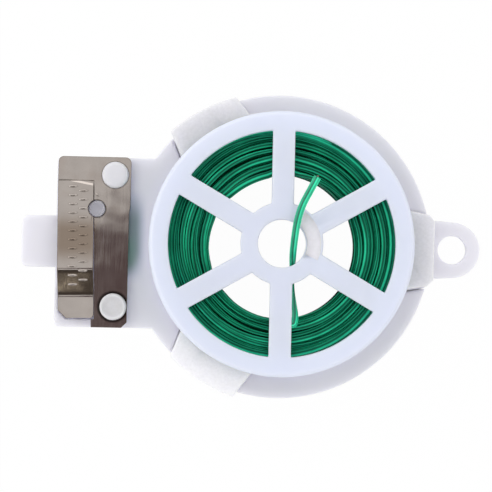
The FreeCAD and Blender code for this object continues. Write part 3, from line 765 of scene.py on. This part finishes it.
def winding_stations(sizes):
    """Places and tilts of the tie: one strand in an outer layer, and back in a deeper one.

    It leans over more here and less there, so that it shows its flat side, its ridge or its edge."""
    width, thickness, pitch = sizes.tie_width / MM, sizes.tie_thickness / MM, sizes.turn_pitch / MM
    sideways, sinking, leaning = (wander(sizes.winding_seed + index, *wandering)
                                  for index, wandering in enumerate((SIDEWAYS, SINKING, LEANING)))
    outer_run, deep_run = (sum(section_stretches(depth)) - width / 2 for depth in (0.0, DEEP_LAYER))
    outer_turns, deep_turns = int(outer_run / pitch), int(deep_run / pitch)
    stations = []
    for index in range((outer_turns + deep_turns) * STATIONS_PER_TURN + 1):
        turn = index / STATIONS_PER_TURN
        # After the outer layer the strand moves in and goes back in the deeper one.
        deep = share_between(outer_turns, outer_turns + MOVE_IN, turn)
        whole, share = (deep_run, 1.0 - (turn - outer_turns) / deep_turns) if deep else (
            outer_run, turn / outer_turns)
        radius, height, facing = section_place(width / 4 + share * (whole - width / 4), DEEP_LAYER * deep)
        angle = -90.0 - 360.0 * turn
        on_edge = bell(turn, *ON_EDGE)
        ease = min(1.0, turn / ORDERLY_TURNS)
        lean = ease * max(-MOST_LEAN, min(MOST_LEAN, leaning(turn)))
        lean += on_edge * (ON_EDGE_LEAN - lean)
        inward = max(thickness / 2, width / 2 * abs(math.cos(lean)) + WING_HALF * abs(math.sin(lean)))
        inward += ease * (1.0 - on_edge) * (SINKING[1] + sinking(turn))
        inward += front_sink(radius, angle) * math.cos(facing / 2)
        shift = ease * sideways(turn)
        # Sideways goes along the section's line, and inward goes into the winding.
        radius += shift * math.cos(facing) - inward * math.sin(facing)
        height += -shift * math.sin(facing) - inward * math.cos(facing)
        # The innermost turns sag in between the posts, most of all at the far side and the left.
        from_midway = abs((angle - FIRST_SPOKE) % SPOKE_SPACING - SPOKE_SPACING / 2)
        sag = SAG + SAG_TO_FAR * math.sin(math.radians(angle)) - SAG_TO_LEFT * math.cos(math.radians(angle))
        sag *= eased(share_between(*SAG_FROM_MIDWAY, from_midway))
        sag *= max(0.0, 1.0 - (radius - WINDING_INSIDE) / SAG_REACH)
        radius -= ease * sag + ON_EDGE_INWARD * on_edge
        height -= CROSSED_DIP * bell(turn, *CROSSED)
        stations.append((in_metres(*polar(radius, angle), height), facing + lean))
    return stations


class TIESPOOL_OT_winding(bpy.types.Operator):
    """Winds the tie on the spool: one unbroken strand round a core of inner turns."""
    bl_idname = "tiespool.winding"
    bl_label = "Winding"

    def execute(self, context):
        sizes, colours = context.scene.tie_sizes, context.scene.tie_colours
        green = soft_tie_plastic("glossy_green_polyethylene", colours.tie, 0.05, WINDING_PAINTED_LIGHT_AND_SHADE)
        lay_tie("winding_turns", winding_stations(sizes), sizes, green, "wire_turns", WINDING_RESOLUTION,
                on_edge=True)
        # The innermost turns show only in the gaps and along the inside: ridges one pitch apart.
        inner, outer = WINDING_INSIDE, WINDING_OUTSIDE - CORE_UNDER_OUTSIDE
        front, rear = FRONT_BOTTOM - CORE_UNDER_FLANGE, REAR_TOP + CORE_UNDER_FLANGE
        section = [Vector(corner) for corner in (
            (inner, front), (SINK_RADII[0], front), (outer, front - front_sink(outer, 0.0)), (outer, rear),
            (inner, rear))]
        corners = []
        for start, end in zip(section, section[1:] + section[:1]):
            along = (end - start).normalized()
            inward = Vector((along.y, -along.x))
            ridges = max(2, round((end - start).length / (sizes.turn_pitch / MM)))
            for ridge in range(ridges):
                corners += [start + (end - start) * (ridge + share) / ridges + inward * depth
                            for share, depth in CORE_RIDGE]
        # The inner turns are the tie's green drawn nearly black: painted shade, as they lie deep between the
        # turns.
        deep = soft_tie_plastic("matt_green_polyethylene_inner_turns_painted_shade", linear("#053A28"), 0.0,
                                ((0.0, 1.0), (1.0, 1.0)), 0.0, 0.6)
        finish_piece("winding_core", turned_piece(corners, steps=CORE_STEPS, closed=True), "spool",
                     deep, ("wire_pack",))
        return {"FINISHED"}


class TIESPOOL_OT_free_end(bpy.types.Operator):
    """Lays the tie's free end: out of the first turn, under the hub and up through its hole."""
    bl_idname = "tiespool.free_end"
    bl_label = "Free end"

    def execute(self, context):
        sizes = context.scene.tie_sizes
        # The free end is the tie's green drawn brighter: painted light, as it lies in the open over the hub.
        green = soft_tie_plastic("lit_green_polyethylene_painted_light", linear("#3CF8BE"), 0.4, FREE_END_PAINTED_LIGHT_AND_SHADE, 0.7, 0.16)
        stations = [(in_metres(*place), math.radians(tilt))
                    for place, tilt in zip([FREE_END_START] + FREE_END_ROUTE, FREE_END_TILTS)]
        tie, path = lay_tie("free_end", stations, sizes, green, "wire_tail", FREE_END_RESOLUTION)
        # The tie's steel core where the cutter sheared it: dull, grey-brown, and a hair proud of the plastic
        tip, before = Vector(FREE_END_ROUTE[-1]), Vector(FREE_END_ROUTE[-2])
        bm = turned_piece(CORE_OUTLINE, steps=SMALL_STEPS)
        turn = UPWARDS.rotation_difference(tip - before).to_matrix().to_4x4()
        bmesh.ops.transform(bm, matrix=Matrix.Translation(tip) @ turn, verts=bm.verts[:])
        core = finish_piece("free_end_core", bm, "spool",
                            bare_steel("sheared_steel_core", "#8A7A6C", 0.4, 0.7, 0.8, 0.45))
        return {"FINISHED"}


# Mouldings

def leaned(place, way=1):
    """Turns a place with the leg's lean, or back with -1."""
    x, y = place[0] - LEG_BEND[0], place[1] - LEG_BEND[1]
    cosine, sine = math.cos(LEG_LEAN), way * math.sin(LEG_LEAN)
    return LEG_BEND[0] + x * cosine - y * sine, LEG_BEND[1] + x * sine + y * cosine


def hook_shape(name):
    """A snap hook: turned to its seat, leaning out at its top, and thicker there at the rim."""
    middle, turn, first_lean, last_lean = HOOKS[name]
    bm = from_node(name)
    for vertex in bm.verts:
        radius = vertex.co.xy.length
        angle = math.degrees(math.atan2(vertex.co.y, vertex.co.x))
        up = (vertex.co.z - HOOK_BOTTOM) / (HOOK_TOP - HOOK_BOTTOM)
        if radius > HOOK_WALL:
            from_middle = (angle - middle + 180.0) % 360.0 - 180.0
            across = share_between(-HOOK_HALF_ARC, HOOK_HALF_ARC, from_middle)
            radius += up * (first_lean + (last_lean - first_lean) * across)
        elif up > 0.5:
            radius -= HOOK_LIP_GROWTH * (2.0 * up - 1.0)
        vertex.co.x, vertex.co.y = polar(radius, angle + turn)
    return bm


def disc_edge_at(hook):
    """The disc's edge at a hook: the slot before it, an arc, the slot after it, and the next arc."""
    turn = Matrix.Rotation(math.radians(sum(HOOKS[hook][:2])), 2)
    before = [tuple(turn @ Vector((x, -y))) for x, y in reversed(HOOK_SLOT)]
    after = [tuple(turn @ Vector(place)) for place in HOOK_SLOT]
    return before + [(0.0, 0.0, 1)] + after + [(0.0, 0.0, 1)]


def plate_shape():
    """Disc, cutter base with its finger tab, and hanging tab, with the well under the leg."""
    bm = bmesh.new()
    meets = math.sqrt(DISC_RADIUS ** 2 - CUTTER_HALF_WIDTH ** 2)
    left = [(-meets, CUTTER_HALF_WIDTH), (CUTTER_LEFT, CUTTER_HALF_WIDTH),
            (CUTTER_LEFT, FINGER_HALF_WIDTH), (FINGER_LEFT, FINGER_HALF_WIDTH)]
    right = [HANG_TAB_MEETS, (HANG_HOLE_X, HANG_TAB_RADIUS)]
    at_right = disc_edge_at("snap_hook_right")
    half = len(at_right) // 2
    parts = [right[0], (0.0, 0.0, 1)] + at_right[half:] + disc_edge_at("snap_hook_upper_left") + left
    parts += [(x, -y) for x, y in reversed(left)] + [(0.0, 0.0, 1)]
    parts += disc_edge_at("snap_hook_lower_left") + at_right[:half]
    parts += [(x, -y) for x, y in right] + [(HANG_HOLE_X, 0.0, 1), right[1]]
    corners = draw(bm, parts)
    for rounding, x, beyond in ((CUTTER_ROUNDING, CUTTER_LEFT, FINGER_HALF_WIDTH + 0.1),
                                (FINGER_ROUNDING, FINGER_LEFT, 0.0)):
        round_corners(bm, [corner for corner in corners if corner.is_valid
                           and abs(corner.co.x - x) < NEAR and abs(corner.co.y) > beyond], rounding)
    circle(bm, RING_OPENING_RADIUS)
    circle(bm, HANG_HOLE_RADIUS, (HANG_HOLE_X, 0.0))
    x0, x1, y0, y1 = WELL
    draw(bm, [leaned(place) for place in (
        (x0 + WELL_CHAMFER, y0), (x1, y0), (x1, y1), (x0, y1), (x0, y0 + WELL_CHAMFER))])
    fill(bm)
    well = fill_pocket(bm, lambda place: x0 < place.x < x1 + WELL_LEANS[0]
                       and y0 - WELL_LEANS[1] < place.y < y1 + WELL_LEANS[1])
    thicken(bm, 0.0, PLATE_THICKNESS)
    lower_pocket(bm, well, WELL_DEPTH)
    return bm


class TIESPOOL_OT_base(bpy.types.Operator):
    """Makes the base moulding: ring, cutter base, hanging tab, ledge and snap hooks."""
    bl_idname = "tiespool.base"
    bl_label = "Base"

    def execute(self, context):
        sizes, colours = context.scene.tie_sizes, context.scene.tie_colours
        # The base's white carries painted shade on the plate beside the cutter's sheet.
        white = moulded_polystyrene("satin_white_polystyrene_base", colours.base, 0.42, painted_shade_beside_sheet)
        # The hooks are the base's own moulding, drawn in lit and shaded copies: the upper-left and right ones
        # greyer as painted shade, and the lower-left one paler as painted light.
        matt = moulded_polystyrene("matt_polystyrene_hooks_painted_shade", linear("#E0DFE3"), 0.6, speckled)
        lit = moulded_polystyrene("matt_polystyrene_lower_hook_painted_light", linear("#F3F2F6"), 0.6, speckled)
        # The slots beside the hooks are too narrow for a rounded edge.
        slots = [Vector(part) for hook in HOOKS for part in disc_edge_at(hook) if len(part) == 2]
        finish_piece("base_plate", plate_shape(), "base", white,
                     ("base_ring", "cutter_base", "hang_tab"), PLATE_EDGE * sizes.moulded_edge,
                     left_sharp=lambda place: any((place.xy - slot).length < NEAR for slot in slots))
        for node, shape, skin in [("cutter_ledge", from_node("cutter_ledge"), white)] + [
                (hook, hook_shape(hook), lit if hook == "snap_hook_lower_left" else matt) for hook in HOOKS]:
            finish_piece(node + "_moulding", shape, "base", skin, (node,),
                         HOOK_EDGE * sizes.moulded_edge)
        return {"FINISHED"}


def front_flange_shape():
    """Rim, spokes and hub ring in one outline, with a rounded rim and a shallow recess in the hub."""
    bm = bmesh.new()
    circle(bm, FLANGE_RADIUS)
    circle(bm, HUB_HOLE_RADIUS)
    far, near = (math.degrees(math.asin(SPOKE_HALF_WIDTH / radius))
                 for radius in (WINDOW_RADIUS, HUB_RADIUS))
    for index in range(6):
        spoke = FIRST_SPOKE + SPOKE_SPACING * index
        after = spoke + SPOKE_SPACING
        draw(bm, [polar(WINDOW_RADIUS, spoke + far), (0.0, 0.0, 1), polar(WINDOW_RADIUS, after - far),
                  polar(HUB_RADIUS, after - near), (0.0, 0.0, -1), polar(HUB_RADIUS, spoke + near)])
    (inner, outer), (first, last) = RECESS_RADII, RECESS_ENDS
    draw(bm, [polar(outer, first), (0.0, 0.0, 1), polar(outer, last), polar(inner, last), (0.0, 0.0, -1),
              polar(inner, first)])
    fill(bm)
    recess = fill_pocket(bm, lambda place: inner - NEAR < place.length < outer + NEAR)
    thicken(bm, FRONT_BOTTOM, FLANGE_THICKNESS)
    lower_pocket(bm, recess, RECESS_DEPTH, 1)
    for vertex in bm.verts:
        if abs(vertex.co.z - (FRONT_TOP - RECESS_DEPTH)) < SAME_PLACE:
            at = math.degrees(math.atan2(vertex.co.y, vertex.co.x))
            vertex.co.z += RECESS_RISE * (last - at) / (last - first)
    rim = [edge for edge in bm.edges if all(
        abs(vertex.co.xy.length - FLANGE_RADIUS) < NEAR and vertex.co.z > FRONT_TOP - NEAR
        for vertex in edge.verts)]
    bmesh.ops.bevel(bm, geom=rim, offset=RIM_ROUNDING, offset_type="OFFSET", segments=ROUND_SEGMENTS,
                    profile=0.5, affect="EDGES", material=-1, clamp_overlap=False)
    return bm


class TIESPOOL_OT_spool(bpy.types.Operator):
    """Makes the spool's two spoked flanges."""
    bl_idname = "tiespool.spool"
    bl_label = "Spool"

    def execute(self, context):
        sizes, colours = context.scene.tie_sizes, context.scene.tie_colours
        white = moulded_polystyrene("satin_white_polystyrene_spool", colours.spool, 0.44)
        # The recess is too shallow for a rounded edge.
        piece = finish_piece(
            "front_flange_moulding", front_flange_shape(), "spool", white, ("front_flange",),
            PLATE_EDGE * sizes.moulded_edge,
            left_sharp=lambda place: any(abs(place.xy.length - radius) < 2 * NEAR for radius in RECESS_RADII))
        piece.data.materials.append(
            moulded_polystyrene("cloudy_polystyrene_over_gate", colours.spool, 0.45, cloudy))
        finish_piece("rear_flange_moulding", from_node("rear_flange"), "spool", white,
                     ("rear_flange",), sizes.moulded_edge)
        return {"FINISHED"}


# Cutter

def at_bend(place):
    """Whether a place lies on the line where the leg bends out of the head."""
    x, y = leaned(place, -1)
    return abs(y - LEG_BEND[1]) < 2 * NEAR and x < LEG_BEND[0] + LEG_HALF_WIDTH + 2 * SHEAR_GAP


def leg_rise(run):
    """Height of the leg's underside after a run: up to the crest, down to the knee, and up to the foot."""
    for (start, low), (end, high) in zip(LEG_RISES, LEG_RISES[1:]):
        if run <= end:
            break
    rise = low + (high - low) * (run - start) / (end - start)
    for (before, first), (bend, middle), (after, last) in zip(LEG_RISES, LEG_RISES[1:], LEG_RISES[2:]):
        if abs(run - bend) < LEG_CURVE:
            change = (last - middle) / (after - bend) - (middle - first) / (bend - before)
            rise += change * (LEG_CURVE - abs(run - bend)) ** 2 / (4 * LEG_CURVE)
    return rise


def beside_the_pin(side):
    """Where a side of the slit meets the pin's hole, before the lean: the hole's centre and both ends."""
    x, y = leaned(PIN_PLACE, -1)
    along = math.sqrt(PIN_HOLE_RADIUS ** 2 - (side - x) ** 2)
    return (x, y), (side, y + along), (side, y - along)


def sheet_shape():
    """The fixed sheet: head, and blade beside the slit, with a small pressed mark beside the pin."""
    bm = bmesh.new()
    slit = LEG_BEND[0] + LEG_HALF_WIDTH + SHEAR_GAP
    _, upper, lower = beside_the_pin(slit)
    top, end = leaned((slit, LEG_BEND[1])), leaned((slit, LEG_BEND[1] - LEG_LENGTH - SLIT_PAST_LEG))
    corners = draw(bm, [
        leaned(upper), (*PIN_PLACE, -1), leaned(lower), end, (BLADE_LEFT, end[1]),
        (BLADE_LEFT, SHEET_NEAR), (BLADE_RIGHT - BLADE_CHAMFER, SHEET_NEAR),
        (BLADE_RIGHT, SHEET_NEAR + BLADE_CHAMFER), (BLADE_RIGHT, BLADE_WIDENS[0]),
        (SHEET_RIGHT, BLADE_WIDENS[1]), (SHEET_RIGHT, SHEET_FAR), (SHEET_LEFT, SHEET_FAR),
        leaned((SHEET_LEFT, LEG_BEND[1])), top])
    round_corners(bm, [corner for corner in corners if abs(corner.co.y - SHEET_FAR) < NEAR],
                  SHEET_ROUNDING)
    fill(bm)
    thicken(bm, SHEET_BOTTOM, SHEET_TOP - SHEET_BOTTOM)
    raise_mound(bm, (*MARK_PLACE, SHEET_TOP), Matrix.Rotation(math.radians(MARK_TURN), 4, "Z"), MARK_SIZE)
    return bm


def leg_shape():
    """The leg: its plan is cut across at its bends, thickened, and raised to its crest."""
    bm = bmesh.new()
    left, right = LEG_BEND[0] - LEG_HALF_WIDTH, LEG_BEND[0] + LEG_HALF_WIDTH
    start, end = LEG_BEND[1], LEG_BEND[1] - LEG_LENGTH
    centre, upper, lower = beside_the_pin(right)
    draw(bm, [upper, (*centre, 1), lower] + [(right - x, end + y) for x, y in FOOT_CORNER] + [
        (left + FOOT_CHAMFER, end), (left, end + FOOT_CHAMFER), (left, start), (right, start)])
    fill(bm)
    cuts = [step * LEG_CUT_SPACING for step in range(1, LEG_CUTS + 1)]
    for bend, _ in LEG_RISES[1:-1]:
        cuts += [bend + share * LEG_CURVE / 5 for share in range(-5, 6)]
    for run in cuts:
        bmesh.ops.bisect_plane(bm, geom=bm.verts[:] + bm.edges[:] + bm.faces[:], dist=0.0001,
                               plane_co=(0.0, start - run, 0.0), plane_no=(0.0, 1.0, 0.0))
    thicken(bm, SHEET_BOTTOM, SHEET_TOP - SHEET_BOTTOM)
    for vertex in bm.verts:
        vertex.co.z += leg_rise(start - vertex.co.y)
    # A plain grip pattern of pressed bars in two staggered columns
    for row in range(BAR_ROWS):
        x, y = LEG_BEND[0] + BAR_COLUMNS[row % 2], FIRST_BAR - row * BAR_PITCH
        before, here, after = (leg_rise(start - y + reach) for reach in (-SLOPE_REACH, 0.0, SLOPE_REACH))
        slope = math.atan2(after - before, -2 * SLOPE_REACH)
        raise_mound(bm, (x, y, SHEET_TOP + here), Matrix.Rotation(math.pi - slope, 4, "X"), BAR_SIZE)
    bmesh.ops.rotate(bm, cent=(*LEG_BEND, 0.0), matrix=Matrix.Rotation(LEG_LEAN, 3, "Z"),
                     verts=bm.verts[:])
    return bm


class TIESPOOL_OT_cutter(bpy.types.Operator):
    """Makes the cutter's sheet, its leg, and the stakes and pin that hold it."""
    bl_idname = "tiespool.cutter"
    bl_label = "Cutter"

    def execute(self, context):
        sizes, colours = context.scene.tie_sizes, context.scene.tie_colours
        nickel = nickel_plated_steel("nickel_plated_spring_steel", colours.steel)
        # The base's white carries painted shade on the plate beside the cutter's sheet.
        white = moulded_polystyrene("satin_white_polystyrene_base", colours.base, 0.42, painted_shade_beside_sheet)
        # The pin is the base's white moulding drawn grey: painted shade, as it sits down in the sheet's hole.
        grey = moulded_polystyrene("satin_polystyrene_pin_in_painted_shade", linear("#B0AEB8"), 0.4)
        worn = moulded_polystyrene("worn_polystyrene_stake", colours.base, 0.55, cloudy)
        # The plating covers the sheet's sheared edges thinly: they are dull and brown, and they are drawn
        # dark as painted shade, on the walls and on the rounded edges alike.
        sheared = bare_steel("sheared_steel_edges_in_painted_shade", "#6A5C50", 1.0, 0.8, 0.9, 0.5)
        # The leg bends out of the head without a gap.
        for name, shape, body, node in (("cutter_sheet", sheet_shape(), "base", "cutter_plate"),
                                        ("press_leg_sheet", leg_shape(), "leg", "press_leg")):
            finish_piece(name, shape, body, nickel, (node,), sizes.sheet_edge, 2, at_bend,
                         sheared)
        for name, outline, (x, y), height, skin in (
                ("upper_stake", FLAT_HEAD, STAKE_PLACES["upper_stake"], SHEET_TOP, white),
                ("lower_stake", DISHED_HEAD, STAKE_PLACES["lower_stake"], SHEET_TOP, worn),
                ("locating_pin", PIN_OUTLINE, PIN_PLACE, PIN_TOP, grey)):
            finish_piece(name + "_head", turned_piece(outline, (x, y, height)), "base", skin,
                         (name,))
        return {"FINISHED"}


# Stage and camera

class TIESPOOL_OT_camera(bpy.types.Operator):
    """Puts the camera where the photograph was taken from."""
    bl_idname = "tiespool.camera"
    bl_label = "Camera"

    def execute(self, context):
        eye, target = Vector(CAMERA_EYE) * MM, Vector(CAMERA_TARGET) * MM
        forward = (target - eye).normalized()
        level = forward.cross(Vector((0.0, 1.0, 0.0))).normalized()
        upright = level.cross(forward)
        right = level * math.cos(CAMERA_ROLL) + upright * math.sin(CAMERA_ROLL)
        up = upright * math.cos(CAMERA_ROLL) - level * math.sin(CAMERA_ROLL)
        lens = bpy.data.cameras.new("photo_camera")
        lens.sensor_fit = "HORIZONTAL"
        lens.sensor_width = CAMERA_SENSOR
        lens.lens = CAMERA_SENSOR * CAMERA_FOCAL_PIXELS / PHOTO_PIXELS
        lens.clip_start = 0.01
        camera = add_object("photo_camera", lens)
        camera.matrix_world = Matrix((right, up, -forward)).transposed().to_4x4()
        camera.location = eye
        context.scene.camera = camera
        return {"FINISHED"}


def glowing(name, hex_colour, strength):
    """A plain glowing surface."""
    return with_surface(new_material(name)[0], "Emission",
                        {"Color": linear(hex_colour), "Strength": strength})


def flat_panel(name, size, place, material, turn=0.0):
    """A flat panel that isn't part of the object, with its size and place in metres."""
    bm = bmesh.new()
    bmesh.ops.create_grid(bm, x_segments=1, y_segments=1, size=0.5)
    bmesh.ops.transform(bm, verts=bm.verts[:], matrix=Matrix.Translation(place) @ Matrix.Rotation(
        math.radians(turn), 4, "Z") @ Matrix.Diagonal((*size, 1.0, 1.0)))
    return add_mesh(name, bm, material)


class TIESPOOL_OT_stage(bpy.types.Operator):
    """Sets the white sweep, what the metal mirrors, the soft light from the upper left and the fill."""
    bl_idname = "tiespool.stage"
    bl_label = "Stage"

    def execute(self, context):
        scene = context.scene
        flat_panel("floor", FLOOR_SIZE, FLOOR_PLACE, white_sweep("white_paper_sweep"))
        for name, (hex_colour, strength, size, place, turn) in CARDS.items():
            card = flat_panel(name, size, place, glowing(name, hex_colour, strength), turn)
            card.visible_camera = card.visible_diffuse = False
            card.visible_shadow = card.visible_transmission = False

        lamp = bpy.data.lights.new("soft_box", "AREA")
        lamp.shape = "RECTANGLE"
        lamp.size = lamp.size_y = LAMP_SIZE
        lamp.energy = LAMP_WATTS
        box = add_object("soft_box", lamp)
        box.location = LAMP_PLACE
        box.rotation_euler = (-box.location).to_track_quat("-Z", "Y").to_euler()
        box.visible_glossy = False

        world = bpy.data.worlds.new("white_room")
        world.use_nodes = True
        tree = world.node_tree
        tree.nodes.clear()
        lit, seen = (add_node(tree, "Background", {"Color": linear("#FFFFFF"), "Strength": light})
                     for light in (ROOM_LIGHT, ROOM_SEEN))
        mix = add_node(tree, "MixShader", {0: background_share(tree), 1: lit, 2: seen})
        add_node(tree, "OutputWorld", {"Surface": mix})
        scene.world = world
        scene.view_settings.view_transform = "Standard"
        return {"FINISHED"}


OPERATORS = (TIESPOOL_OT_camera, TIESPOOL_OT_free_end, TIESPOOL_OT_winding, TIESPOOL_OT_spool,
             TIESPOOL_OT_base, TIESPOOL_OT_cutter, TIESPOOL_OT_stage)


class TIESPOOL_PT_panel(bpy.types.Panel):
    """Lists the spool's pieces, sizes and colours."""
    bl_idname = "TIESPOOL_PT_panel"
    bl_label = "Tie wire spool"
    bl_space_type = "VIEW_3D"
    bl_region_type = "UI"
    bl_category = "Tie wire"

    def draw(self, context):
        layout = self.layout
        for group in (context.scene.tie_sizes, context.scene.tie_colours):
            for name in group.bl_rna.properties.keys():
                if name not in ("rna_type", "name"):
                    layout.prop(group, name)
        for operator in OPERATORS:
            layout.operator(operator.bl_idname)


CLASSES = (TieSpoolSizes, TieSpoolColours) + OPERATORS + (TIESPOOL_PT_panel,)


def register():
    for cls in CLASSES:
        bpy.utils.register_class(cls)
    bpy.types.Scene.tie_sizes = bpy.props.PointerProperty(type=TieSpoolSizes)
    bpy.types.Scene.tie_colours = bpy.props.PointerProperty(type=TieSpoolColours)


def unregister():
    del bpy.types.Scene.tie_colours
    del bpy.types.Scene.tie_sizes
    for cls in reversed(CLASSES):
        bpy.utils.unregister_class(cls)


def main():
    """Makes every piece."""
    register()
    bpy.ops.tiespool.camera()
    bpy.ops.tiespool.free_end()
    bpy.ops.tiespool.winding()
    bpy.ops.tiespool.spool()
    bpy.ops.tiespool.base()
    bpy.ops.tiespool.cutter()
    bpy.ops.tiespool.stage()


if __name__ == "__main__":
    main()
